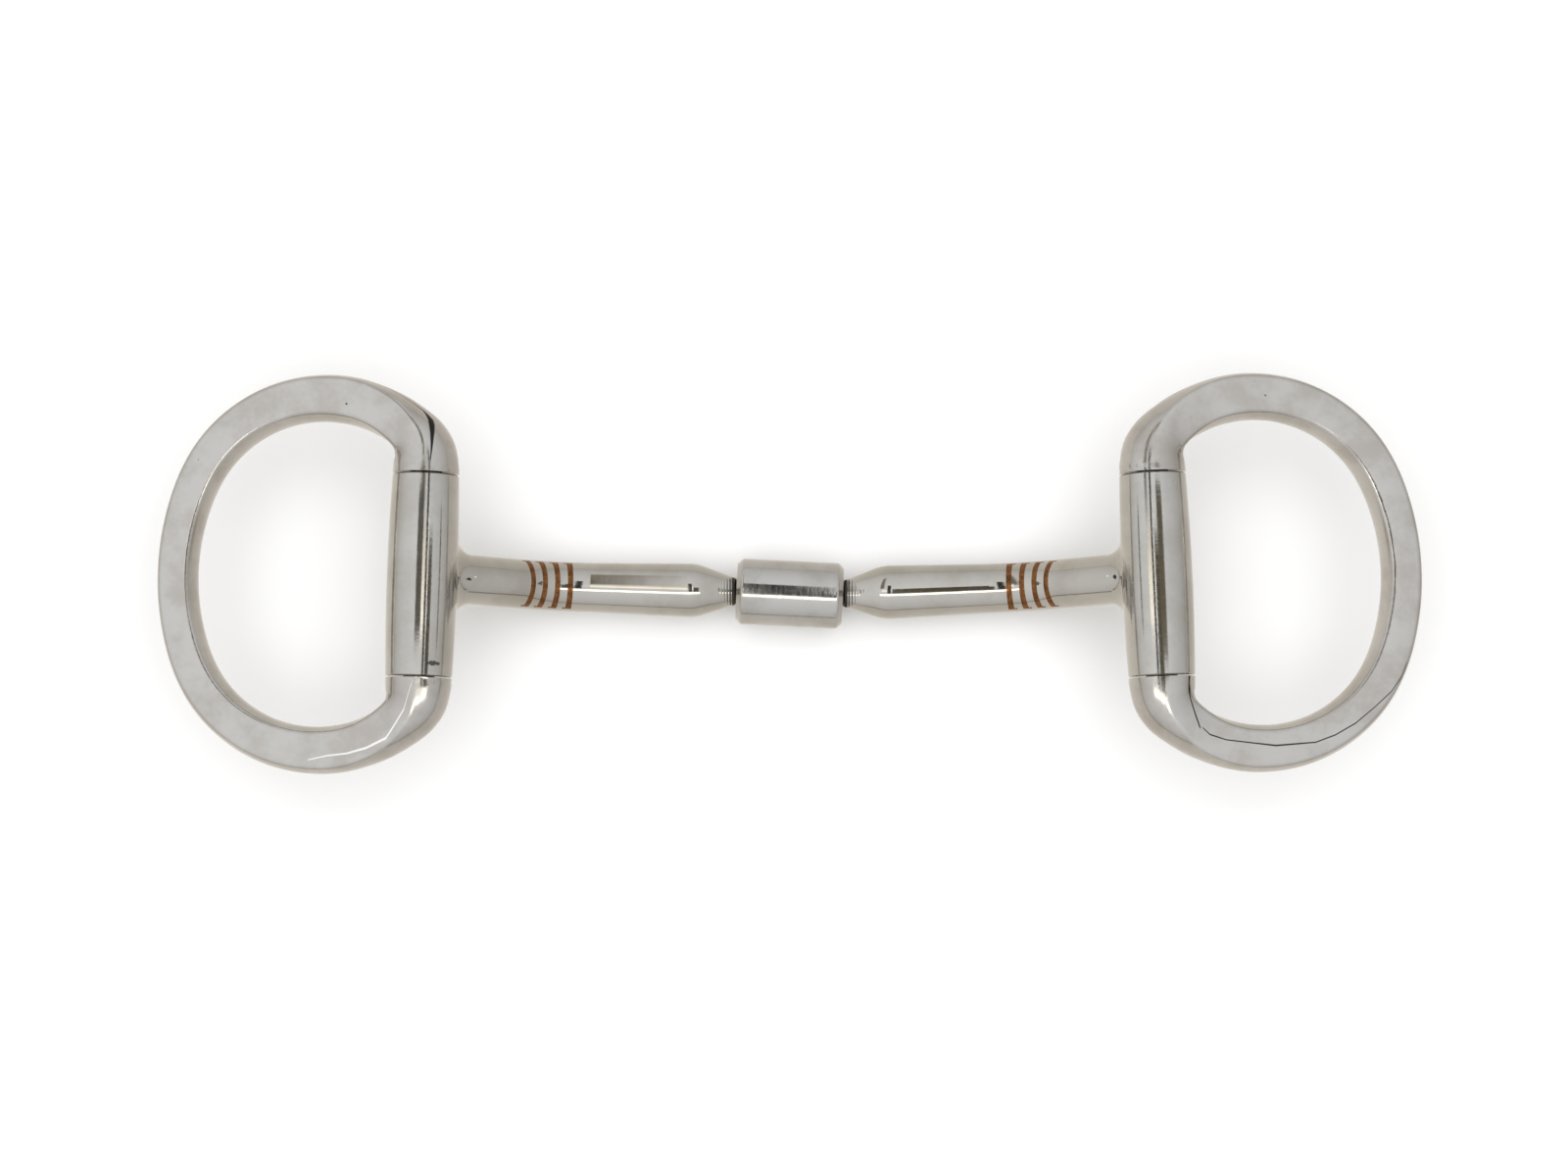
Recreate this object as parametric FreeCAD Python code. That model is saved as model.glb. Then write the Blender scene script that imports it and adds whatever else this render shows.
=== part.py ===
import FreeCAD, Part

import math
import os

# A jointed snaffle bit with D-shaped swivelling cheek rings, in millimetres.
# It lies flat: +X runs along the mouthpiece to the rider's right-hand ring, +Y runs along the cheek
# sleeves and +Z stands up from the table. The origin is on the table under the middle of the bit.
# Each half is built in its own frame, with its origin at the centre of the arm's ball head,
# +X outwards along the straight stretch of the arm, +Y along the cheek sleeve and +Z upwards.

# ---- driving dimensions ---------------------------------------------------------------------
mouth_width = 127.0            # between the two cheek sleeves: a 5 inch bit
cheek_rise = 17.5              # height of the sleeve axes above the barrel axis

barrel_diameter = 12.8
barrel_length = 20.6
barrel_chamfer = 1.0
barrel_edge_round = 0.8        # rounding of the chamfer's outer edge
barrel_bore_diameter = 9.4

ball_diameter = 8.0            # head on the inner end of each arm
ball_offset = 5.4              # from the middle of the barrel to each ball centre
ball_clearance = 0.10          # between the ball and its two seats
neck_diameter = 5.0
neck_clearance = 0.15          # beside the neck when the arm leans on the bush
arm_play_deg = 7.0             # how far an arm can lean off the barrel axis, each way
bush_recess = 0.35             # bush face below the barrel's end face
washer_clearance = 0.20        # between a cup washer and the barrel bore
washer_gap = 0.10              # from the middle of the barrel to each washer's back
washer_height = 3.0            # from its back to its rim

arm_shoulder_diameter = 10.5   # thickest place, at the outer end of the taper
arm_diameter = 9.6             # from the start of the bend outwards
taper_start = 5.4              # from the ball centre to the thin end of the taper
taper_end_diameter = 5.4
taper_length = 7.4
shoulder_round = 3.2           # length of the rounding between taper and shoulder
tip_step = 0.3                 # length of the small step where the neck meets the taper
bend_run = 31.2                # from the start of the upward bend to the sleeve axis, along X
bend_radius = 24.0

band_count = 4
band_width = 1.3
band_depth = 0.5
band_first = 4.75              # middle of the first band, along the bend from its start
band_end_margin = 0.1          # from the last band's feet to the end of the bend
band_half_angle_deg = 68.0     # how far each strip wraps round its side of the arm
foot_length = 0.6              # each strip's ends spread this far along the arm, outwards
foot_angle_deg = 6.0           # how much of the wrap a foot takes

root_fillet = 4.0              # rounding where the arm meets its sleeve

sleeve_length = 38.5
sleeve_end_diameter = 12.6
sleeve_mid_diameter = 13.4
sleeve_edge = 0.25             # chamfer round each end
seam_gap = 0.25                # between a sleeve end and the ring

pin_diameter = 6.0
pin_clearance = 0.05           # running clearance round the pin, on the radius
pin_grip = 5.0                 # length of pin pressed into each end of the ring
pin_chamfer = 0.4

ring_reach = 47.2              # from the sleeve axis to the middle of the bow
ring_half_height = 33.6        # from the middle of the ring to the middle of its top bar
bow_radius = 45.7
shoulder_radius = 26.5
corner_radius = 7.6
bar_width_top = 9.1            # bar width in the ring's plane, at the top and bottom
bar_width_bow = 7.5
bar_thickness_top = 8.4        # bar thickness across the ring's plane
bar_thickness_bow = 7.8
side_bulge_outer = 0.9         # how far the bar's outer side is rounded out past its edges
side_bulge_inner = 1.3
face_crown = 0.12              # how far the two flat faces swell in their middle
edge_round = 0.55              # from each edge of the bar to where its rounding ends
side_aim = 0.5                 # share of the half thickness where the edges' sides point to
shank_edges_deg = (90, 120, 150)  # where the outer edge, crown and inner edge start on the shank
shank_blend_length = 21.0      # length over which the round shank turns into the flat bar
width_settles = 0.55           # share of that length over which the bar's width changes
bow_taper_start = 0.2          # share of the way to the bow where the bar starts to slim
stations_per_arc = (4, 8, 3)   # sections lofted through the corner, the shoulder and the bow
stub_spacing = 1.2             # between the sections lofted through the straight stub at the seam

# ---- how the bit lies -----------------------------------------------------------------------
barrel_turn_deg = -3.1         # barrel, about +Z
right_turn_deg = 1.9           # right half, about +Z
left_turn_deg = -1.9           # left half, about +Z
ring_droop_deg = 5.0           # each ring's bow hangs this far below level
barrel_shift = 1.7             # middle of the barrel below the line of the two rings, along -Y

# ---- worked out from the above --------------------------------------------------------------
arm_reach = mouth_width / 2 + sleeve_end_diameter / 2 - ball_offset
bend_start = arm_reach - bend_run   # from the ball centre
arm_radius = arm_diameter / 2
ball_radius = ball_diameter / 2
seat_radius = ball_radius + ball_clearance
neck_radius = neck_diameter / 2
sleeve_radius = sleeve_end_diameter / 2
pin_radius = pin_diameter / 2
seam = sleeve_length / 2 + seam_gap
UP = FreeCAD.Vector(0, 0, 1)
ACROSS = FreeCAD.Vector(0, 1, 0)
ALONG = FreeCAD.Vector(1, 0, 0)
TINY = 1e-3


def vec(x, y, z):
    return FreeCAD.Vector(x, y, z)


def wire_of(points):
    """A closed outline of straight edges."""
    return Part.makePolygon(points + [points[0]])


def turned(profile):
    """A solid turned about the X axis from (x, radius) points, closed along the axis."""
    points = [vec(profile[0][0], 0, 0)]
    points += [vec(x, radius, 0) for x, radius in profile]
    points.append(vec(profile[-1][0], 0, 0))
    return Part.Face(wire_of(points)).revolve(vec(0, 0, 0), ALONG, 360)


def cylinder(start, length, radius):
    """A cylinder along the X axis."""
    return Part.makeCylinder(radius, length, vec(start, 0, 0), ALONG)


def ball(x, radius):
    return Part.makeSphere(radius, vec(x, 0, 0), ALONG)


# ---- barrel and what is inside it (all about the X axis, from the middle of the barrel) -------
def barrel_sleeve():
    half = barrel_length / 2
    radius = barrel_diameter / 2
    body = turned([
        (-half, radius - barrel_chamfer),
        (-half + barrel_chamfer, radius),
        (half - barrel_chamfer, radius),
        (half, radius - barrel_chamfer),
    ])
    rims = [edge for edge in body.Edges if edge.BoundBox.XLength < TINY]
    shoulders = [edge for edge in rims if abs(edge.BoundBox.YLength - 2 * radius) < TINY]
    body = body.makeFillet(barrel_edge_round, shoulders)
    return body.cut(cylinder(-half, barrel_length, barrel_bore_diameter / 2))


def end_bush():
    """Holds one ball head in: a round seat inside and a cone that lets the neck lean."""
    start = ball_offset
    end = barrel_length / 2 - bush_recess
    body = cylinder(start, end - start, barrel_bore_diameter / 2)
    body = body.cut(ball(ball_offset, seat_radius))
    lean = math.radians(arm_play_deg)
    at_ball = neck_radius / math.cos(lean) + neck_clearance
    at_face = at_ball + (end - start) * math.tan(lean)
    return body.cut(Part.makeCone(at_ball, at_face, end - start, vec(start, 0, 0), ALONG))


def cup_washer():
    """Backs one ball head and turns with its arm."""
    radius = barrel_bore_diameter / 2 - washer_clearance
    return cylinder(washer_gap, washer_height, radius).cut(ball(ball_offset, seat_radius))


# ---- arm (in the half's own frame) ------------------------------------------------------------
def bend():
    """The bend's centre, its angle in radians and the straight length left to the sleeve axis."""
    centre = vec(bend_start, 0, bend_radius)
    to_sleeve = vec(arm_reach, 0, cheek_rise).sub(centre)
    last_straight = math.sqrt(to_sleeve.Length ** 2 - bend_radius ** 2)
    below = math.atan2(-to_sleeve.z, to_sleeve.x)
    angle = math.pi / 2 - below - math.atan2(last_straight, bend_radius)
    return centre, angle, last_straight


def arm_core():
    """Ball head, neck, taper and straight stretch, turned about the arm's axis."""
    shoulder = taper_start + taper_length
    half_round = shoulder_round / 2
    thickest = arm_shoulder_diameter / 2
    taper_drop = (thickest - taper_end_diameter / 2) * half_round / taper_length
    straight_drop = (thickest - arm_radius) * half_round / (bend_start - shoulder)
    before = vec(shoulder - half_round, thickest - taper_drop, 0)
    chord_drop = (taper_drop + straight_drop) / 2
    middle = vec(shoulder, thickest - chord_drop / 2, 0)
    after = vec(shoulder + half_round, thickest - straight_drop, 0)
    tip = vec(taper_start, taper_end_diameter / 2, 0)
    neck_end = vec(taper_start - tip_step, neck_radius, 0)
    bend_point = vec(bend_start, arm_radius, 0)
    ball_end = vec(-ball_radius, 0, 0)
    ball_top = vec(0, ball_radius, 0)
    neck_start = vec(math.sqrt(ball_radius ** 2 - neck_radius ** 2), neck_radius, 0)
    bend_middle = vec(bend_start, 0, 0)
    edges = [
        Part.Arc(ball_end, ball_top, neck_start).toShape(),
        Part.LineSegment(neck_start, neck_end).toShape(),
        Part.LineSegment(neck_end, tip).toShape(),
        Part.LineSegment(tip, before).toShape(),
        Part.Arc(before, middle, after).toShape(),
        Part.LineSegment(after, bend_point).toShape(),
        Part.LineSegment(bend_point, bend_middle).toShape(),
        Part.LineSegment(bend_middle, ball_end).toShape(),
    ]
    return Part.Face(Part.Wire(edges)).revolve(vec(0, 0, 0), ALONG, 360)


def round_point(radius, angle_deg):
    """A point on the arm's section at the start of the bend; 0 degrees is +Z and 90 is +Y."""
    angle = math.radians(angle_deg)
    return vec(bend_start, radius * math.sin(angle), radius * math.cos(angle))


def round_arc(radius, from_deg, to_deg):
    points = [round_point(radius, deg) for deg in (from_deg, (from_deg + to_deg) / 2, to_deg)]
    return Part.Arc(points[0], points[1], points[2]).toShape()


def spoke(from_radius, to_radius, angle_deg):
    line = Part.LineSegment(round_point(from_radius, angle_deg), round_point(to_radius, angle_deg))
    return line.toShape()


def along_bend(edges, start_mm, end_mm):
    """A section swept round the bend, between two distances from the bend's start."""
    centre = bend()[0]
    face = Part.Face(Part.Wire(edges))
    face.rotate(centre, ACROSS, -math.degrees(start_mm / bend_radius))
    return face.revolve(centre, ACROSS, -math.degrees((end_mm - start_mm) / bend_radius))


def grooved_section(spans):
    """The arm's section with a groove cut over each span of angles."""
    floor = arm_radius - band_depth
    edges = []
    for index, (start, end) in enumerate(spans):
        following = spans[(index + 1) % len(spans)][0]
        if following < end:
            following += 360
        edges.append(round_arc(floor, start, end))
        edges.append(spoke(floor, arm_radius, end))
        edges.append(round_arc(arm_radius, end, following))
        edges.append(spoke(arm_radius, floor, following))
    return edges


def full_section():
    return [round_arc(arm_radius, 0, 180), round_arc(arm_radius, 180, 360)]


def strip_section(start, end):
    """What fills one span of a groove."""
    floor = arm_radius - band_depth
    return [
        round_arc(arm_radius, start, end),
        spoke(arm_radius, floor, end),
        round_arc(floor, end, start),
        spoke(floor, arm_radius, start),
    ]


def strip_span(turn):
    """The angles that one strip covers; it is centred on 0 degrees over the arm or 180 under it."""
    return turn - band_half_angle_deg, turn + band_half_angle_deg


def foot_spans(turn):
    """The angles of one strip's two feet."""
    start, end = strip_span(turn)
    return [(start, start + foot_angle_deg), (end - foot_angle_deg, end)]


def band_ends(index):
    """Where one band starts and ends along the bend; the bands are spread evenly over it."""
    last = bend()[1] * bend_radius - band_end_margin - foot_length - band_width / 2
    middle = band_first + index * (last - band_first) / (band_count - 1)
    return middle - band_width / 2, middle + band_width / 2


def copper_band(index):
    """One band: a strip over the top of the arm and one under it, each with a foot at both ends."""
    start, end = band_ends(index)
    strips = []
    for turn in (0, 180):
        strip = along_bend(strip_section(*strip_span(turn)), start, end)
        feet = [along_bend(strip_section(*span), end, end + foot_length) for span in foot_spans(turn)]
        strips.append(strip.fuse(feet).removeSplitter())
    return Part.makeCompound(strips)


def arm_bend():
    """The bend, with the grooves of each band."""
    total = bend()[1] * bend_radius
    stretches = []
    reached = 0.0
    for index in range(band_count):
        start, end = band_ends(index)
        strips = [strip_span(turn) for turn in (0, 180)]
        feet = foot_spans(0) + foot_spans(180)
        stretches.append(along_bend(full_section(), reached, start))
        stretches.append(along_bend(grooved_section(strips), start, end))
        stretches.append(along_bend(grooved_section(feet), end, end + foot_length))
        reached = end + foot_length
    stretches.append(along_bend(full_section(), reached, total))
    return stretches[0].fuse(stretches[1:])


def arm_root():
    """The last straight stretch, rounded out where it is welded to its sleeve."""
    _, angle, last_straight = bend()
    direction = vec(math.cos(angle), 0, math.sin(angle))
    sleeve_centre = vec(arm_reach, 0, cheek_rise)
    blank = sleeve_blank()
    stem = Part.makeCylinder(arm_radius, last_straight, sleeve_centre - direction * last_straight, direction)
    joined = stem.fuse(blank)
    sleeve_axis = Part.Line(sleeve_centre, sleeve_centre + ACROSS)
    meeting = [edge for edge in joined.Edges if on_both(edge, sleeve_axis, direction)]
    return joined.makeFillet(root_fillet, meeting).cut(blank)


def on_both(edge, sleeve_axis, direction):
    """Whether an edge lies where the arm's last straight stretch meets the sleeve."""
    middle = edge.valueAt((edge.FirstParameter + edge.LastParameter) / 2)
    from_sleeve = middle.distanceToPoint(sleeve_axis.value(sleeve_axis.parameter(middle)))
    out_of_arm = (middle - vec(arm_reach, 0, cheek_rise)).cross(direction).Length
    return from_sleeve < sleeve_mid_diameter / 2 + TINY and abs(out_of_arm - arm_radius) < TINY


def sleeve_blank():
    """The sleeve's outer shape, slightly fuller in the middle, about its own axis."""
    half = sleeve_length / 2
    end = sleeve_radius - sleeve_edge
    low = vec(sleeve_radius, -half + sleeve_edge, 0)
    high = vec(sleeve_radius, half - sleeve_edge, 0)
    edges = [
        Part.LineSegment(vec(0, -half, 0), vec(end, -half, 0)).toShape(),
        Part.LineSegment(vec(end, -half, 0), low).toShape(),
        Part.Arc(low, vec(sleeve_mid_diameter / 2, 0, 0), high).toShape(),
        Part.LineSegment(high, vec(end, half, 0)).toShape(),
        Part.LineSegment(vec(end, half, 0), vec(0, half, 0)).toShape(),
        Part.LineSegment(vec(0, half, 0), vec(0, -half, 0)).toShape(),
    ]
    blank = Part.Face(Part.Wire(edges)).revolve(vec(0, 0, 0), ACROSS, 360)
    blank.translate(vec(arm_reach, 0, cheek_rise))
    return blank


def along_sleeve(start, length, radius):
    """A cylinder on the sleeve axis."""
    return Part.makeCylinder(radius, length, vec(arm_reach, start, cheek_rise), ACROSS)


def cheek_sleeve():
    return sleeve_blank().cut(along_sleeve(-sleeve_length, 2 * sleeve_length, pin_radius + pin_clearance))


def arm():
    return arm_core().fuse([arm_bend(), arm_root()]).removeSplitter()


def hinge_pin():
    half = seam + pin_grip
    body = along_sleeve(-half, 2 * half, pin_radius)
    rims = [edge for edge in body.Edges if edge.BoundBox.YLength < TINY]
    return body.makeChamfer(pin_chamfer, rims)


# ---- ring: a D in the plane of u (away from the sleeve) and v (along it) ----------------------
def ring_arcs():
    """The middle line's arcs from the upper seam to the bow: centre, radius, start and end angle."""
    bow_centre = (ring_reach - bow_radius, 0.0)
    shoulder_v = ring_half_height - shoulder_radius
    shoulder_u = bow_centre[0] + math.sqrt((bow_radius - shoulder_radius) ** 2 - shoulder_v ** 2)
    lift = math.sqrt((shoulder_radius - corner_radius) ** 2 - (shoulder_u - corner_radius) ** 2)
    corner_v = shoulder_v + lift
    corner_end = math.atan2(lift, corner_radius - shoulder_u)
    bow_start = math.atan2(shoulder_v, shoulder_u - bow_centre[0])
    return [
        ((corner_radius, corner_v), corner_radius, math.pi, corner_end),
        ((shoulder_u, shoulder_v), shoulder_radius, corner_end, bow_start),
        (bow_centre, bow_radius, bow_start, 0.0),
    ]


def ring_path():
    """Stations on the upper half of the middle line: (u, v, outward angle, distance from the seam)."""
    arcs = ring_arcs()
    stub = arcs[0][0][1] - seam
    stub_steps = max(1, round(stub / stub_spacing))
    stub_runs = [stub * step / stub_steps for step in range(stub_steps)]
    stations = [(0.0, seam + along, math.pi, along) for along in stub_runs]
    run = stub
    for (centre, radius, start, end), steps in zip(arcs, stations_per_arc):
        for step in range(steps):
            angle = start + (end - start) * step / steps
            place_u = centre[0] + radius * math.cos(angle)
            place_v = centre[1] + radius * math.sin(angle)
            stations.append((place_u, place_v, angle, run + radius * (start - angle)))
        run += radius * (start - end)
    stations.append((ring_reach, 0.0, 0.0, run))
    return stations


def ease(share):
    """0 to 1 with a level start and end."""
    share = min(1.0, max(0.0, share))
    return share * share * (3 - 2 * share)


def mix(low, high, share):
    return low + (high - low) * share


def on_shank(angle_deg):
    """A point of the round shank's section; 0 degrees is the outer side and 90 the top."""
    angle = math.radians(angle_deg)
    return vec(sleeve_radius * math.cos(angle), sleeve_radius * math.sin(angle), 0)


def rounded(corner, on_face, on_side):
    """The start, middle and end of the rounding of one edge of the bar."""
    start = corner + (on_face - corner).normalize() * edge_round
    end = corner + (on_side - corner).normalize() * edge_round
    half_angle = (start - corner).getAngle(end - corner) / 2
    chord_middle = (start + end) / 2
    return start, corner + (chord_middle - corner) / (1 + math.sin(half_angle)), end


def bar_section(run, total):
    """The top half of a section of the bar, as points across (x) and above (y) its middle.

    In order: outer side's middle, the outer edge's rounding, the crown, the inner edge's
    rounding and the inner side's middle.
    """
    flat = ease(run / shank_blend_length)
    slim = ease((run / total - bow_taper_start) / (1 - bow_taper_start))
    width = mix(bar_width_top, bar_width_bow, slim)
    thick = mix(bar_thickness_top, bar_thickness_bow, slim)
    half_width = mix(sleeve_radius, width / 2, ease(run / (width_settles * shank_blend_length)))
    outer = vec(width / 2 - side_bulge_outer, thick / 2, 0)
    inner = vec(-width / 2 + side_bulge_inner, thick / 2, 0)
    crown = (outer + inner) / 2 + vec(0, face_crown, 0)
    aim_height = side_aim * thick / 2
    outer_round = rounded(outer, crown, vec(width / 2, aim_height, 0))
    inner_round = rounded(inner, crown, vec(-width / 2, aim_height, 0))
    flat_points = [*outer_round[::-1], crown, *inner_round]
    turn = math.degrees(edge_round / sleeve_radius)
    outer_deg, crown_deg, inner_deg = shank_edges_deg
    shank_points = [on_shank(outer_deg + step * turn) for step in (-1, 0, 1)]
    shank_points += [on_shank(crown_deg)]
    shank_points += [on_shank(inner_deg + step * turn) for step in (-1, 0, 1)]
    between = [mix(shank, bar, flat) for shank, bar in zip(shank_points, flat_points)]
    return [vec(half_width, 0, 0), *between, vec(-half_width, 0, 0)]


def bar_wire(station, total, upper):
    """The closed section at one station, on the upper or lower half of the ring."""
    u, v, angle, run = station
    side = 1 if upper else -1
    top = bar_section(run, total)
    around = top + [vec(point.x, -point.y, 0) for point in top[-2:0:-1]]
    placed = [
        vec(u + point.x * math.cos(angle), side * (v + point.x * math.sin(angle)), point.y)
        for point in around
    ]
    # eight arcs: each ends two points on, and the first is the top outer rounding
    edges = []
    for first in range(1, len(placed), 2):
        ends = [placed[(first + step) % len(placed)] for step in range(3)]
        edges.append(Part.Arc(*ends).toShape())
    return Part.Wire(edges)


def ring():
    path = ring_path()
    total = path[-1][3]
    wires = [bar_wire(station, total, True) for station in path]
    wires += [bar_wire(station, total, False) for station in reversed(path[:-1])]
    body = Part.makeLoft(wires, True, False)
    body.rotate(vec(0, 0, 0), ACROSS, ring_droop_deg)
    body.translate(vec(arm_reach, 0, cheek_rise))
    return body.cut(hinge_pin())


# ---- putting it together ----------------------------------------------------------------------
def in_barrel(shape, side):
    """From the barrel's frame to its place; side -1 turns the piece to the left end."""
    placed = shape.copy()
    if side < 0:
        placed.rotate(vec(0, 0, 0), UP, 180)
    placed.rotate(vec(0, 0, 0), UP, barrel_turn_deg)
    placed.translate(vec(0, -barrel_shift, barrel_diameter / 2))
    return placed


def in_half(shape, side):
    """From a half's own frame to its place; side -1 is the left half."""
    placed = shape.copy()
    placed.rotate(vec(0, 0, 0), UP, right_turn_deg if side > 0 else 180 + left_turn_deg)
    barrel_axis = math.radians(barrel_turn_deg)
    reach = side * ball_offset
    ball_place = vec(reach * math.cos(barrel_axis), reach * math.sin(barrel_axis), 0)
    placed.translate(ball_place + vec(0, -barrel_shift, barrel_diameter / 2))
    return placed


def pieces():
    found = {"barrel_sleeve": in_barrel(barrel_sleeve(), 1)}
    for name, side in (("left", -1), ("right", 1)):
        found[name + "_end_bush"] = in_barrel(end_bush(), side)
        found[name + "_cup_washer"] = in_barrel(cup_washer(), side)
        found[name + "_arm"] = in_half(arm(), side)
        found[name + "_cheek_sleeve"] = in_half(cheek_sleeve(), side)
        found[name + "_ring"] = in_half(ring(), side)
        found[name + "_hinge_pin"] = in_half(hinge_pin(), side)
        for index in range(band_count):
            node = "%s_copper_band_%d" % (name, index + 1)
            found[node] = in_half(copper_band(index), side)
    return found


os.makedirs("parts", exist_ok=True)
for node, shape in pieces().items():
    if not shape.isValid():
        raise ValueError(node + " is not a valid solid")
    shape.exportStep("parts/" + node + ".step")
    box = shape.BoundBox
    print("%-22s %2d solid  %8.1f mm3  z %6.2f to %6.2f" % (
        node, len(shape.Solids), shape.Volume, box.ZMin, box.ZMax))
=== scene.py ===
import math

import bmesh
import bpy
from mathutils import Matrix, Vector


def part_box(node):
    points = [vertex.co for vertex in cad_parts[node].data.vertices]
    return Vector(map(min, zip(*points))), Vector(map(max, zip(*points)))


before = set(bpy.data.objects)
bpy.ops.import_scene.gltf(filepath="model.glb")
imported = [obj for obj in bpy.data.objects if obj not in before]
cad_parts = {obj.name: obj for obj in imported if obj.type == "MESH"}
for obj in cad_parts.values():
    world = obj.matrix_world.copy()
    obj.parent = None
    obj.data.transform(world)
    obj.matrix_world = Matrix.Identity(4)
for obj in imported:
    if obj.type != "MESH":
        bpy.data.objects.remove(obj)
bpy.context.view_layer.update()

MM = 0.001
barrel_low, barrel_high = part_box("barrel_sleeve")
AXIS_HEIGHT = (barrel_low.z + barrel_high.z) / 2      # of the barrel above the floor


# ---- small helpers for node materials ---------------------------------------------------------
def new_material(name):
    material = bpy.data.materials.new(name)
    material.use_nodes = True
    tree = material.node_tree
    return material, tree.nodes, tree.links, tree.nodes["Principled BSDF"]


def noise(nodes, links, place, size, detail=3.0, rough=0.55, stretch=(1, 1, 1)):
    """A noise value; size is the width of one blotch in metres, before it is stretched."""
    mapping = nodes.new("ShaderNodeMapping")
    mapping.inputs["Scale"].default_value = [1 / s for s in stretch]
    links.new(place, mapping.inputs["Vector"])
    node = nodes.new("ShaderNodeTexNoise")
    node.inputs["Scale"].default_value = 1 / size
    node.inputs["Detail"].default_value = detail
    node.inputs["Roughness"].default_value = rough
    links.new(mapping.outputs["Vector"], node.inputs["Vector"])
    return node.outputs["Fac"]


def remap(nodes, links, value, low, high, to_low, to_high, smooth=False):
    node = nodes.new("ShaderNodeMapRange")
    node.interpolation_type = "SMOOTHSTEP" if smooth else "LINEAR"
    node.inputs["From Min"].default_value = low
    node.inputs["From Max"].default_value = high
    node.inputs["To Min"].default_value = to_low
    node.inputs["To Max"].default_value = to_high
    links.new(value, node.inputs["Value"])
    return node.outputs["Result"]


def math_node(nodes, links, operation, first, second=0.0):
    node = nodes.new("ShaderNodeMath")
    node.operation = operation
    for socket, value in zip(node.inputs, (first, second)):
        if isinstance(value, (int, float)):
            socket.default_value = value
        else:
            links.new(value, socket)
    return node.outputs["Value"]


def mix_colour(nodes, links, share, first, second):
    node = nodes.new("ShaderNodeMix")
    node.data_type = "RGBA"
    links.new(share, node.inputs["Factor"])
    for socket, value in ((node.inputs["A"], first), (node.inputs["B"], second)):
        if isinstance(value, tuple):
            socket.default_value = (*value, 1)
        else:
            links.new(value, socket)
    return node.outputs["Result"]


def bump(nodes, links, height, depth, before=None):
    """Height 0 to 1 over a depth in metres."""
    node = nodes.new("ShaderNodeBump")
    node.inputs["Strength"].default_value = 1.0
    node.inputs["Distance"].default_value = depth
    links.new(height, node.inputs["Height"])
    if before is not None:
        links.new(before, node.inputs["Normal"])
    return node.outputs["Normal"]


def coordinate(nodes, links, place, axis):
    split = nodes.new("ShaderNodeSeparateXYZ")
    links.new(place, split.inputs["Vector"])
    return split.outputs[axis]


def colour_ramp(nodes, links, share, points):
    """A colour that changes in straight runs; points are (place, colour), from 0 to 1."""
    ramp = nodes.new("ShaderNodeValToRGB")
    stops = ramp.color_ramp.elements
    last = len(points) - 1
    for index, (place, colour) in enumerate(points):
        stop = stops.new(place) if 0 < index < last else stops[0 if index == 0 else -1]
        stop.color = (*colour, 1)
    links.new(share, ramp.inputs["Fac"])
    return ramp.outputs["Color"]


def traced(nodes, links, value, values, results):
    """Takes a value along straight runs through given points."""
    low, high = min(values), max(values)
    least, span = min(results), max(results) - min(results)
    share = remap(nodes, links, value, low, high, 0.0, 1.0)
    points = []
    for at, result in sorted(zip(values, results)):
        level = (result - least) / span
        points.append(((at - low) / (high - low), (level, level, level)))
    level = colour_ramp(nodes, links, share, points)
    return remap(nodes, links, level, 0.0, 1.0, least, least + span)


# ---- marks on the metal -------------------------------------------------------------------------
EDGE_OF_TOP = 0.2         # mm of height over which a mark on the top side fades in
END_OF_CREASE = 0.4       # mm of length over which a crease fades at each end
RAGGED_SIZE = 0.5         # mm, one bite in the edge of a spot


def top_side(nodes, links, place, above):
    """1 above a height in mm, 0 below it."""
    height = coordinate(nodes, links, place, "Z")
    return remap(nodes, links, height, (above - EDGE_OF_TOP) * MM, above * MM, 0.0, 1.0)


def crease(nodes, links, place, along, points, above):
    """1 along a line on the top side of a piece, fading to 0 at its edges.

    Each point is (x, y, half width) in mm; the line is followed along the axis given, and it
    shows only higher than 'above' mm.
    """
    across = "Y" if along == "X" else "X"
    run = [point["XY".index(along)] * MM for point in points]
    off = [point["XY".index(across)] * MM for point in points]
    widths = [point[2] * MM for point in points]
    at = coordinate(nodes, links, place, along)
    middle = traced(nodes, links, at, run, off)
    width = traced(nodes, links, at, run, widths)
    distance = math_node(
        nodes, links, "SUBTRACT", coordinate(nodes, links, place, across), middle)
    distance = math_node(nodes, links, "ABSOLUTE", distance)
    share = math_node(nodes, links, "DIVIDE", distance, width)
    inside = remap(nodes, links, share, 0.6, 1.2, 1.0, 0.0, True)
    start, end, fade = min(run), max(run), END_OF_CREASE * MM
    started = remap(nodes, links, at, start, start + fade, 0.0, 1.0)
    ended = remap(nodes, links, at, end - fade, end, 1.0, 0.0)
    for part in (top_side(nodes, links, place, above), started, ended):
        inside = math_node(nodes, links, "MULTIPLY", inside, part)
    return inside


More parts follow.
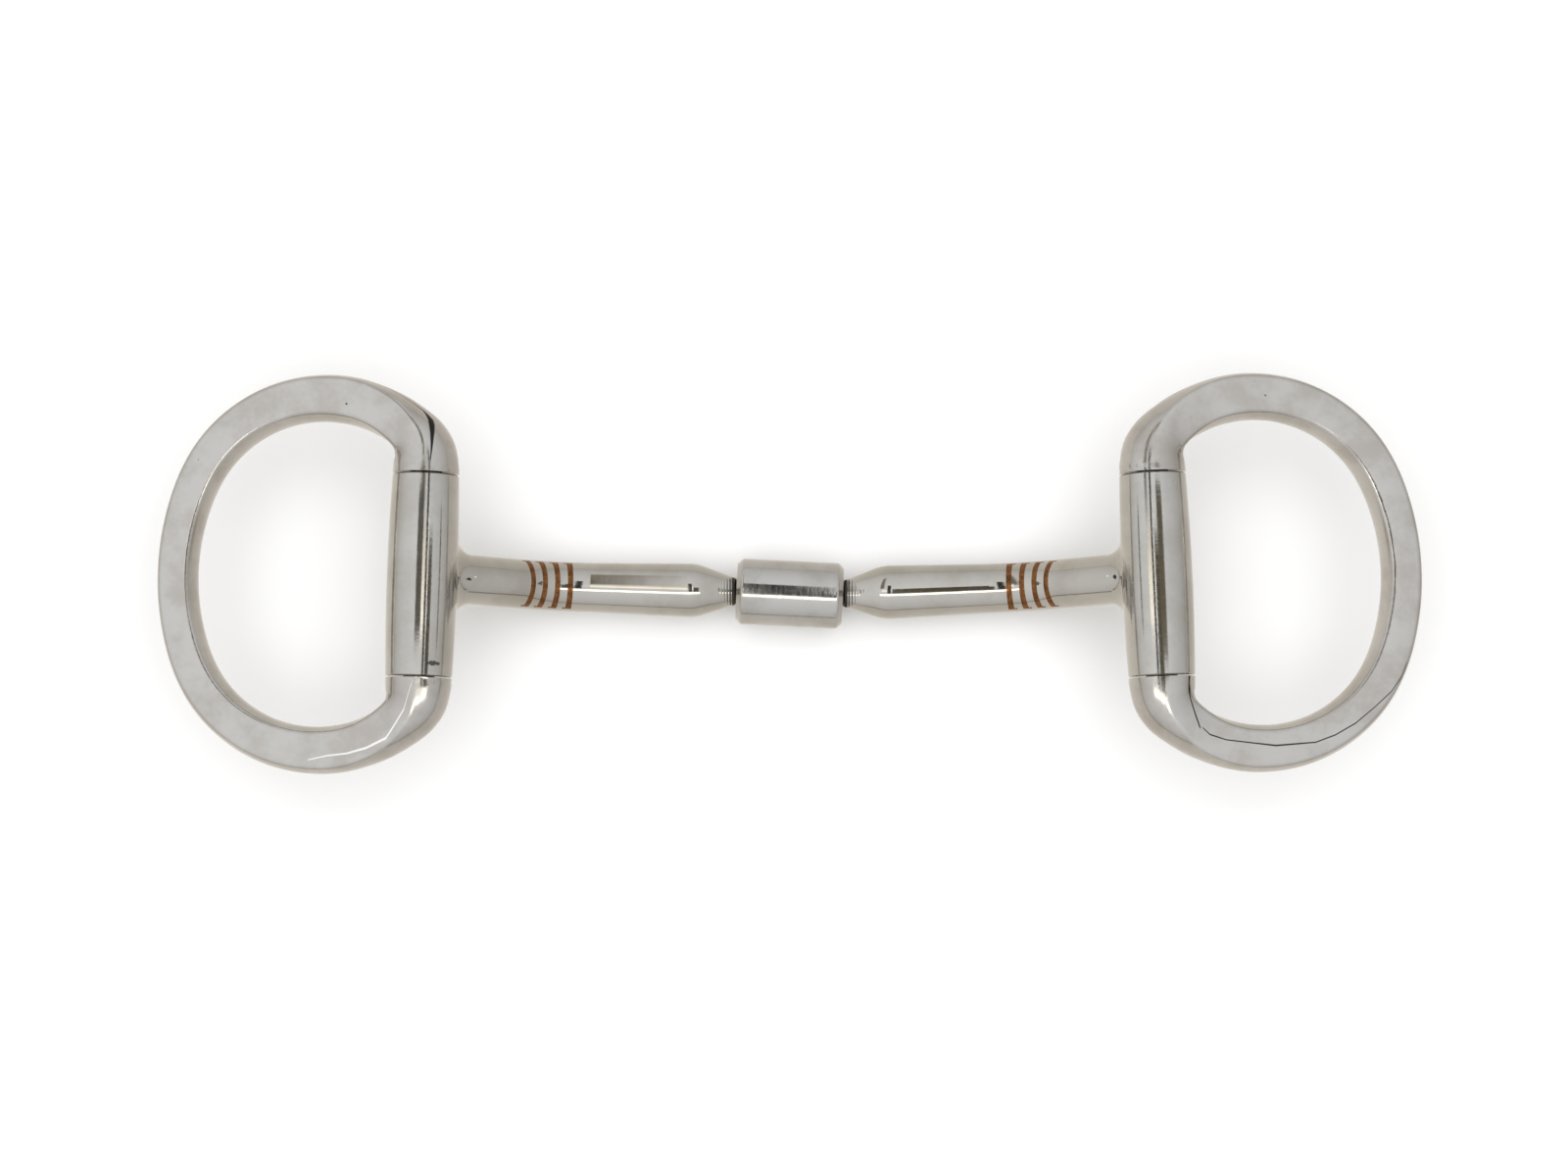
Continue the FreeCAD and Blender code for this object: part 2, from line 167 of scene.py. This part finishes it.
def spot(nodes, links, place, x, y, half_width, half_height, above):
    """1 in one ragged spot on the top side, 0 elsewhere (mm)."""
    squares = []
    for axis, middle, half in (("X", x, half_width), ("Y", y, half_height)):
        off = remap(nodes, links, coordinate(nodes, links, place, axis),
                    middle * MM, (middle + half) * MM, 0.0, 1.0)
        off.node.clamp = False
        squares.append(math_node(nodes, links, "MULTIPLY", off, off))
    reach = math_node(nodes, links, "ADD", *squares)
    ragged = noise(nodes, links, place, RAGGED_SIZE * MM, 3.0, 0.6)
    ragged = remap(nodes, links, ragged, 0.3, 0.7, -0.7, 0.7)
    reach = math_node(nodes, links, "ADD", reach, ragged)
    inside = remap(nodes, links, reach, 0.6, 1.3, 1.0, 0.0, True)
    return math_node(nodes, links, "MULTIPLY", inside, top_side(nodes, links, place, above))


def pits(nodes, links, place, spacing, radius, share):
    """1 in small round pits, 0 elsewhere; share is how many of the cells have one."""
    cells = nodes.new("ShaderNodeTexVoronoi")
    cells.feature = "F1"
    cells.inputs["Scale"].default_value = 1 / spacing
    cells.inputs["Randomness"].default_value = 1.0
    links.new(place, cells.inputs["Vector"])
    edge = radius / spacing
    near = remap(nodes, links, cells.outputs["Distance"], edge * 0.5, edge, 1.0, 0.0, True)
    split = nodes.new("ShaderNodeSeparateColor")
    links.new(cells.outputs["Color"], split.inputs["Color"])
    chosen = remap(nodes, links, split.outputs["Red"], 1 - share, 1.01 - share, 0.0, 1.0)
    return math_node(nodes, links, "MULTIPLY", near, chosen)


# distances from the middle of the bit, out along the arms
GROOVES_FULL_TO, GROOVES_GONE_BY = 12.5 * MM, 15.0 * MM
# how far out the dirt and painted shade at each arm's neck reach
GRIME_AND_SHADE_FULL_TO, GRIME_AND_SHADE_GONE_BY = 10.9 * MM, 11.6 * MM
GROOVE_PITCH = 0.55 * MM
GROOVE_DEPTH = 0.035 * MM


def along_arm(nodes, links, place):
    return math_node(nodes, links, "ABSOLUTE", coordinate(nodes, links, place, "X"))


def turned_grooves(nodes, links, place):
    """Fine grooves round the thin end of each arm's taper."""
    out = along_arm(nodes, links, place)
    turns = math_node(nodes, links, "MULTIPLY", out, math.tau / GROOVE_PITCH)
    wave = remap(nodes, links, math_node(nodes, links, "SINE", turns), -1.0, 1.0, 0.0, 1.0)
    near = remap(nodes, links, out, GROOVES_FULL_TO, GROOVES_GONE_BY, 1.0, 0.0, True)
    return math_node(nodes, links, "MULTIPLY", wave, near)


def neck_grime_and_shade(nodes, links, place):
    """Dark dirt and painted shade where each arm goes into the barrel."""
    out = along_arm(nodes, links, place)
    return remap(nodes, links, out, GRIME_AND_SHADE_FULL_TO, GRIME_AND_SHADE_GONE_BY, 0.85, 0.0, True)


# ---- the metals ---------------------------------------------------------------------------------
# widths of one patch or scratch
FILM_SIZE = 9 * MM
HAZE_SIZE = 5 * MM
GRAIN_SIZE = 0.25 * MM
GRIT_SIZE = 0.4 * MM
PIT_SPACING, PIT_RADIUS, PIT_DEPTH = 2.2 * MM, 0.13 * MM, 0.02 * MM

PIT_COLOUR = (0.20, 0.19, 0.18)
# dirt and painted shade in the gap at each arm's neck
GRIME_AND_SHADE_COLOUR = (0.10, 0.09, 0.07)
SPOT_COLOUR = (0.10, 0.09, 0.08)
STAIN_COLOUR = (0.11, 0.10, 0.09)
# painted shade of the small notch at each arm's root
NOTCH_PAINTED_SHADE = (0.05, 0.045, 0.04)
# painted dark reflection, for the lines and the facet on the rings' edges
PAINTED_DARK_REFLECTION = (0.035, 0.033, 0.03)
# painted highlight colour, for the bright ridge and the glints by the notches
PAINTED_HIGHLIGHT = (0.97, 0.965, 0.95)


def steel(name, clean, dull, roughness, smudge, wave, wave_size, grain_stretch, grain_depth, grit,
          pit_share=0.12, marks=(), turning=False):
    """Polished steel: tint, haze, hand-polished waviness, fine grain, grit and a few pits.

    Marks are creases and spots (several are painted reflections, highlights and shade): what draws
    them, its numbers and the colour inside.
    """
    material, nodes, links, shader = new_material(name)
    place = nodes.new("ShaderNodeTexCoord").outputs["Object"]
    shader.inputs["Metallic"].default_value = 1.0

    film = noise(nodes, links, place, FILM_SIZE, 4.0, 0.6)
    film = remap(nodes, links, film, 0.38, 0.68, 0.0, 1.0, True)
    holes = pits(nodes, links, place, PIT_SPACING, PIT_RADIUS, pit_share)
    colour = mix_colour(nodes, links, film, clean, dull)
    colour = mix_colour(nodes, links, holes, colour, PIT_COLOUR)
    for draw, numbers, inside in marks:
        colour = mix_colour(nodes, links, draw(nodes, links, place, *numbers), colour, inside)
    if turning:
        # dirt and painted shade at the neck
        colour = mix_colour(nodes, links, neck_grime_and_shade(nodes, links, place), colour, GRIME_AND_SHADE_COLOUR)
    links.new(colour, shader.inputs["Base Color"])

    haze = noise(nodes, links, place, HAZE_SIZE, 5.0, 0.65)
    streaks = noise(nodes, links, place, GRAIN_SIZE, 2.0, 0.5, grain_stretch)
    uneven = math_node(nodes, links, "MULTIPLY", haze, streaks)
    rough = remap(nodes, links, uneven, 0.12, 0.42, roughness, roughness + smudge)
    links.new(rough, shader.inputs["Roughness"])

    waves = noise(nodes, links, place, wave_size, 1.0, 0.4)
    specks = noise(nodes, links, place, GRIT_SIZE, 3.0, 0.6)
    normal = bump(nodes, links, waves, wave)
    normal = bump(nodes, links, streaks, grain_depth, normal)
    normal = bump(nodes, links, specks, grit, normal)
    normal = bump(nodes, links, remap(nodes, links, holes, 0.0, 1.0, 1.0, 0.0), PIT_DEPTH, normal)
    if turning:
        normal = bump(nodes, links, turned_grooves(nodes, links, place), GROOVE_DEPTH, normal)
    links.new(normal, shader.inputs["Normal"])
    return material


# the left ring's upper corner: a fine painted dark reflection along the flat's edge that opens into
# a facet painted dark as a reflection
LEFT_FACET = [
    (-79.3, 37.5, 0.05), (-75.6, 36.2, 0.06), (-71.3, 33.5, 0.08), (-69.4, 32.0, 0.14),
    (-68.6, 31.1, 0.30), (-67.9, 30.1, 0.52), (-67.6, 29.0, 0.58), (-67.45, 27.5, 0.45),
    (-67.45, 25.3, 0.25), (-67.55, 23.6, 0.15), (-67.7, 21.8, 0.07),
]
# the left ring's lower corner: a painted highlight on a ridge that runs out along the bottom bar
LEFT_RIDGE = [
    (-91.2, -34.2, 0.10), (-87.4, -33.4, 0.14), (-83.6, -33.0, 0.18), (-79.9, -32.0, 0.24),
    (-76.1, -30.2, 0.30), (-74.8, -28.3, 0.30), (-72.6, -24.8, 0.26), (-71.7, -21.7, 0.18),
    (-70.8, -19.1, 0.10),
]
# the right ring's lower corner: a painted dark reflection line where two files met, down the corner
# and along the bar
RIGHT_CORNER_SEAM = [
    (75.5, -17.4, 0.10), (75.3, -18.4, 0.28), (75.0, -20.6, 0.12), (75.1, -21.8, 0.24),
    (75.2, -23.1, 0.12), (75.9, -25.6, 0.14), (76.4, -27.2, 0.16), (77.1, -29.3, 0.14),
]
RIGHT_BAR_SEAM = [
    (77.3, -28.8, 0.13), (78.9, -30.3, 0.16), (82.0, -31.3, 0.13), (87.1, -31.9, 0.14),
    (91.5, -32.4, 0.18), (99.1, -31.8, 0.14), (102.9, -30.4, 0.14), (106.8, -28.2, 0.15),
    (110.6, -25.1, 0.13), (113.8, -22.2, 0.14), (115.8, -19.4, 0.16), (117.1, -16.2, 0.16),
]

ring_finish = dict(
    clean=(0.575, 0.562, 0.545), dull=(0.49, 0.468, 0.438), roughness=0.12, smudge=0.10,
    wave=0.010 * MM, wave_size=6 * MM, grain_stretch=(3, 3, 1), grain_depth=0.0006 * MM,
    grit=0.0020 * MM)
left_ring_steel = steel("left_ring_stainless", **ring_finish, marks=[
    # painted dark reflection along the upper corner's edge and facet
    (crease, ("Y", LEFT_FACET, 24.0), PAINTED_DARK_REFLECTION),
    # painted highlight along the lower ridge
    (crease, ("X", LEFT_RIDGE, 20.0), PAINTED_HIGHLIGHT),
    (spot, (-83.9, 33.3, 0.22, 0.22, 24.0), SPOT_COLOUR),
])
right_ring_steel = steel("right_ring_stainless", **ring_finish, marks=[
    # painted dark reflection lines down the lower corner and along the bottom bar
    (crease, ("Y", RIGHT_CORNER_SEAM, 23.0), PAINTED_DARK_REFLECTION),
    (crease, ("X", RIGHT_BAR_SEAM, 20.0), PAINTED_DARK_REFLECTION),
    (spot, (90.5, 34.1, 0.22, 0.22, 24.0), SPOT_COLOUR),
])
arm_steel = steel(
    "mouthpiece_steel", clean=(0.55, 0.535, 0.505), dull=(0.49, 0.47, 0.43), roughness=0.05,
    smudge=0.07, wave=0.018 * MM, wave_size=5 * MM, grain_stretch=(1, 8, 8),
    grain_depth=0.0004 * MM, grit=0.0008 * MM, pit_share=0.02, turning=True, marks=[
        # painted shade in the notch at each arm's root, then a painted highlight (glint) beside
        # each
        (spot, (-61.0, 0.1, 0.50, 0.25, 22.0), NOTCH_PAINTED_SHADE),
        (spot, (61.7, -0.2, 0.30, 0.50, 22.0), NOTCH_PAINTED_SHADE),
        (spot, (-59.8, 0.6, 0.22, 0.14, 22.0), PAINTED_HIGHLIGHT),
        (spot, (60.4, 0.1, 0.20, 0.12, 22.0), PAINTED_HIGHLIGHT),
    ])
sleeve_steel = steel(
    "sleeve_steel", clean=(0.56, 0.55, 0.525), dull=(0.50, 0.485, 0.455), roughness=0.07,
    smudge=0.10, wave=0.006 * MM, wave_size=1.2 * MM, grain_stretch=(5, 1, 5),
    grain_depth=0.0006 * MM, grit=0.0050 * MM, marks=[
        (spot, (-67.2, -16.2, 1.1, 0.5, 28.5), STAIN_COLOUR),
    ])
barrel_steel = steel(
    "barrel_steel", clean=(0.56, 0.555, 0.54), dull=(0.47, 0.46, 0.43), roughness=0.07,
    smudge=0.09, wave=0.006 * MM, wave_size=1.4 * MM, grain_stretch=(1, 6, 6),
    grain_depth=0.0010 * MM, grit=0.0050 * MM)
seat_steel = steel(
    "bearing_steel", clean=(0.42, 0.41, 0.39), dull=(0.30, 0.29, 0.27), roughness=0.28,
    smudge=0.15, wave=0.004 * MM, wave_size=3 * MM, grain_stretch=(4, 1, 1),
    grain_depth=0.0015 * MM, grit=0.0050 * MM)
pin_steel = steel(
    "pin_steel", clean=(0.16, 0.15, 0.14), dull=(0.08, 0.075, 0.07), roughness=0.25,
    smudge=0.15, wave=0.004 * MM, wave_size=3 * MM, grain_stretch=(1, 4, 1),
    grain_depth=0.0010 * MM, grit=0.0040 * MM)

TARNISH_SIZE = 1.1 * MM
FILE_MARK_SIZE, FILE_MARK_DEPTH = 0.12 * MM, 0.003 * MM
SCUFFED_COPPER = (0.27, 0.120, 0.048)
BROWN_COPPER = (0.14, 0.060, 0.024)


def copper_metal():
    """Inlaid copper, browned by use, with brighter scuffs."""
    material, nodes, links, shader = new_material("inlaid_copper")
    place = nodes.new("ShaderNodeTexCoord").outputs["Object"]
    shader.inputs["Metallic"].default_value = 1.0
    tarnish = noise(nodes, links, place, TARNISH_SIZE, 5.0, 0.7)
    tarnish = remap(nodes, links, tarnish, 0.38, 0.62, 0.0, 1.0, True)
    colour = mix_colour(nodes, links, tarnish, SCUFFED_COPPER, BROWN_COPPER)
    links.new(colour, shader.inputs["Base Color"])
    links.new(remap(nodes, links, tarnish, 0.0, 1.0, 0.16, 0.34), shader.inputs["Roughness"])
    file_marks = noise(nodes, links, place, FILE_MARK_SIZE, 3.0, 0.6, (1, 6, 6))
    links.new(bump(nodes, links, file_marks, FILE_MARK_DEPTH), shader.inputs["Normal"])
    return material


copper = copper_metal()


def metal_of(node):
    if "copper_band" in node:
        return copper
    if node.endswith("_ring"):
        return left_ring_steel if node.startswith("left") else right_ring_steel
    if node == "barrel_sleeve":
        return barrel_steel
    if node.endswith(("_bush", "_washer")):
        return seat_steel
    if node.endswith("_pin"):
        return pin_steel
    if node.endswith("_sleeve"):
        return sleeve_steel
    return arm_steel


for name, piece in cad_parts.items():
    for slot in piece.material_slots:
        slot.material = metal_of(name)


# ---- floor --------------------------------------------------------------------------------------
FLOOR_REACH = 3.0              # from the middle to each side
FLOOR_COLOUR = (0.88, 0.88, 0.875)


def flat_piece(name, half_width, half_depth):
    """A flat rectangle, in metres."""
    mesh = bpy.data.meshes.new(name)
    work = bmesh.new()
    bmesh.ops.create_grid(work, x_segments=1, y_segments=1, size=1.0)
    bmesh.ops.scale(work, vec=(half_width, half_depth, 1), verts=work.verts)
    work.to_mesh(mesh)
    work.free()
    piece = bpy.data.objects.new(name, mesh)
    bpy.context.scene.collection.objects.link(piece)
    return piece


def floor():
    """A pale table top, which the steel doesn't mirror."""
    piece = flat_piece("floor", FLOOR_REACH, FLOOR_REACH)
    piece.visible_glossy = False
    material, nodes, links, shader = new_material("floor_white")
    shader.inputs["Base Color"].default_value = (*FLOOR_COLOUR, 1)
    shader.inputs["Roughness"].default_value = 0.9
    shader.inputs["Specular IOR Level"].default_value = 0.0
    piece.data.materials.append(material)


# ---- what the steel mirrors: a pale room, and cards over the bit ---------------------------------
# from straight below (0) through level (0.5) to straight above (1)
ROOM_TONES = [
    (0.0, (0.82, 0.77, 0.70)), (0.49, (0.68, 0.645, 0.59)), (0.53, (0.64, 0.625, 0.60)),
    (0.675, (0.75, 0.745, 0.735)), (0.90, (0.88, 0.88, 0.88)), (1.0, (0.96, 0.965, 0.97)),
]
# the dark line at the table's end: how far above level, and how far it is full and fades from there
TABLE_END_UP, TABLE_END_FULL, TABLE_END_FADED = 0.022, 0.018, 0.030
TABLE_END_COLOUR = (0.24, 0.22, 0.20)
TABLE_END_AT_BACK = 0.25       # how much of the line is left at the back
LEFT_OF_ROOM, RIGHT_OF_ROOM = 1.12, 0.92        # brightness


def studio_room():
    """A pale room, warmer below and with a dark line where the table ends, mostly at the front."""
    world = bpy.data.worlds.new("studio")
    bpy.context.scene.world = world
    world.use_nodes = True
    nodes, links = world.node_tree.nodes, world.node_tree.links
    way = nodes.new("ShaderNodeTexCoord").outputs["Generated"]
    sideways, back, up = (coordinate(nodes, links, way, axis) for axis in "XYZ")
    tones = colour_ramp(nodes, links, remap(nodes, links, up, -1.0, 1.0, 0.0, 1.0), ROOM_TONES)
    off = math_node(nodes, links, "SUBTRACT", up, TABLE_END_UP)
    off = math_node(nodes, links, "ABSOLUTE", off)
    line = remap(nodes, links, off, TABLE_END_FULL, TABLE_END_FADED, 1.0, 0.0)
    front = remap(nodes, links, back, -0.10, 0.15, 1.0, TABLE_END_AT_BACK)
    line = math_node(nodes, links, "MULTIPLY", line, front)
    toned = mix_colour(nodes, links, line, tones, TABLE_END_COLOUR)
    side = remap(nodes, links, sideways, -0.9, 0.9, LEFT_OF_ROOM, RIGHT_OF_ROOM)
    tone = nodes.new("ShaderNodeVectorMath")
    tone.operation = "SCALE"
    links.new(toned, tone.inputs["Vector"])
    links.new(side, tone.inputs["Scale"])
    links.new(tone.outputs["Vector"], nodes["Background"].inputs["Color"])
    nodes["Background"].inputs["Strength"].default_value = 1.0


# x from and to, y from and to, height (all in mm), widths of the soft edges in x and in y, colour,
# and the brightness at the front edge and at the back edge
CARDS = {
    "dark_over_barrel": (-15, 15, -50, 110, 250, 3, 5, (0.045, 0.042, 0.038), 1.0, 1.0),
    "dark_over_right_arm": (25, 94, -52, 36, 250, 7, 6, (0.13, 0.115, 0.085), 1.0, 1.0),
    "bright_by_right_arm": (15, 25, -10, 48, 250, 2, 4, (1.0, 0.97, 0.92), 2.2, 1.6),
    "cream_over_left_arm": (-78, -15, -12, 42, 250, 5, 6, (1.0, 0.94, 0.82), 2.1, 0.9),
    "brown_behind_left_arm": (-112, -34, 28, 430, 253, 30, 40, (0.26, 0.23, 0.18), 0.8, 1.5),
    "bright_front": (-105, 110, -95, -60, 250, 3, 3, (1.0, 0.94, 0.82), 3.6, 3.6),
    "flag_by_left_sleeve": (-90, -62, -14, 34, 104, 3, 6, (0.16, 0.145, 0.13), 1.0, 1.0),
    "flag_by_right_sleeve": (69, 98, -20, 34, 104, 4, 6, (0.16, 0.14, 0.10), 1.4, 0.9),
}


def card(name, left, right, front, back, height, edge_x, edge_y, colour, front_level, back_level):
    """A card that the steel mirrors but the camera and the floor don't see."""
    half_width = (right - left) / 2
    half_depth = (back - front) / 2
    piece = flat_piece(name, half_width * MM, half_depth * MM)
    piece.location = ((left + right) / 2 * MM, (front + back) / 2 * MM, height * MM)
    piece.visible_camera = False
    piece.visible_diffuse = False
    piece.visible_shadow = False
    material, nodes, links, shader = new_material(name)
    nodes.remove(shader)
    place = nodes.new("ShaderNodeTexCoord").outputs["Object"]
    shares = []
    for axis, half, edge in (("X", half_width, edge_x), ("Y", half_depth, edge_y)):
        off = math_node(nodes, links, "ABSOLUTE", coordinate(nodes, links, place, axis))
        shares.append(remap(nodes, links, off, (half - edge) * MM, half * MM, 1.0, 0.0, True))
    share = math_node(nodes, links, "MULTIPLY", *shares)
    glow = nodes.new("ShaderNodeEmission")
    glow.inputs["Color"].default_value = (*colour, 1)
    level = remap(nodes, links, coordinate(nodes, links, place, "Y"),
                  -half_depth * MM, half_depth * MM, front_level, back_level)
    links.new(level, glow.inputs["Strength"])
    clear = nodes.new("ShaderNodeBsdfTransparent")
    blend = nodes.new("ShaderNodeMixShader")
    links.new(share, blend.inputs["Fac"])
    links.new(clear.outputs["BSDF"], blend.inputs[1])
    links.new(glow.outputs["Emission"], blend.inputs[2])
    links.new(blend.outputs["Shader"], nodes["Material Output"].inputs["Surface"])
    piece.data.materials.append(material)


LIGHT_SIZE = 2.4               # metres
LIGHT_POWER = 21.0             # watts
LIGHT_HEIGHT = 1.6             # metres above the floor


def overhead_light():
    """A wide soft light that keeps the floor white; the steel doesn't mirror it."""
    data = bpy.data.lights.new("overhead", "AREA")
    data.shape = "SQUARE"
    data.size = LIGHT_SIZE
    data.energy = LIGHT_POWER
    light = bpy.data.objects.new("overhead", data)
    light.location = (0, 0, LIGHT_HEIGHT)
    light.visible_glossy = False
    bpy.context.scene.collection.objects.link(light)


floor()
studio_room()
for name, numbers in CARDS.items():
    card(name, *numbers)
overhead_light()

# ---- camera -------------------------------------------------------------------------------------
CAMERA_DISTANCE = 0.700
CAMERA_TILT_DEG = 4.4
CAMERA_ROLL_DEG = -0.3
VIEW_WIDTH = 0.30528           # what the view takes in, at the height of the barrel
SENSOR_WIDTH = 36.0            # mm
AIM = Vector((-1.1 * MM, -0.6 * MM, AXIS_HEIGHT))


def camera():
    data = bpy.data.cameras.new("camera")
    data.sensor_width = SENSOR_WIDTH
    data.lens = CAMERA_DISTANCE / VIEW_WIDTH * SENSOR_WIDTH
    data.clip_start = 0.01
    eye = bpy.data.objects.new("camera", data)
    bpy.context.scene.collection.objects.link(eye)
    tilt = math.radians(CAMERA_TILT_DEG)
    eye.location = AIM + CAMERA_DISTANCE * Vector((0, -math.sin(tilt), math.cos(tilt)))
    turn = Matrix.Rotation(tilt, 3, "X")
    roll = Matrix.Rotation(math.radians(CAMERA_ROLL_DEG), 3, "Z")
    eye.rotation_euler = (turn @ roll).to_euler()
    bpy.context.scene.camera = eye


camera()
bpy.context.scene.view_settings.view_transform = "Standard"
